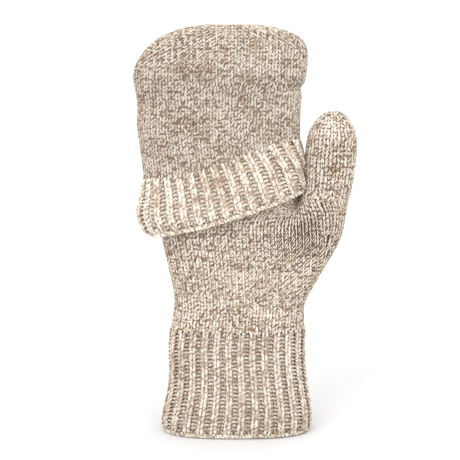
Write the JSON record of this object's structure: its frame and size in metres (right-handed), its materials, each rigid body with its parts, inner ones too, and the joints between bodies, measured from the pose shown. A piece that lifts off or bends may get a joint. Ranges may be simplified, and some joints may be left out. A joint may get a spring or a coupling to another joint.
{
  "type": "convertible flip-top mitten",
  "caption": "Knitted wool flip-top mitten for the right hand: a ribbed cuff, a hand with a thumb and half-finger sleeves, and a cap that flips back off the fingers.",
  "frame": {"origin": "middle of the wrist opening, on the flat surface that the cuff's cast-on edge stands on", "axes": "+Z from the wrist to the fingertips, +X to the thumb's side, -Y out of the palm"},
  "size_m": [0.1444, 0.0468, 0.27],
  "materials": {
    "ragg_wool": "plied wool yarn of cream and brown strands, knitted, matt"
  },
  "bodies": {
    "hand": {"cast_on_edge": "ragg_wool", "wrist_cuff": "ragg_wool", "hand_body": "ragg_wool", "finger_webs": "ragg_wool", "little_finger_sleeve": "ragg_wool", "ring_finger_sleeve": "ragg_wool", "middle_finger_sleeve": "ragg_wool", "index_finger_sleeve": "ragg_wool", "little_finger_edge": "ragg_wool", "ring_finger_edge": "ragg_wool", "middle_finger_edge": "ragg_wool", "index_finger_edge": "ragg_wool", "thumb_root": "ragg_wool", "cap_seam": "ragg_wool", "cap_hinge_fold": "ragg_wool"},
    "thumb": {"thumb_sleeve": "ragg_wool", "thumb_tip": "ragg_wool"},
    "cap": {"cap_crown": "ragg_wool", "cap_palm_panel": "ragg_wool", "cap_back_panel": "ragg_wool", "cap_welt": "ragg_wool", "cap_mouth_edge": "ragg_wool", "crown_seam": "ragg_wool"}
  },
  "joints": [
    {"name": "cap_flip", "type": "hinge", "parent": "hand", "child": "cap", "pos_m": [-0.007, 0.0193, 0.1682], "axis": [-1, 0, 0], "range_deg": [0, 172], "deforming": ["cap_hinge_fold"]},
    {"name": "thumb_flex", "type": "hinge", "parent": "hand", "child": "thumb", "pos_m": [0.06, -0.005, 0.164], "axis": [1, 0, 0], "range_deg": [0, 35], "deforming": ["thumb_root"]}
  ]
}
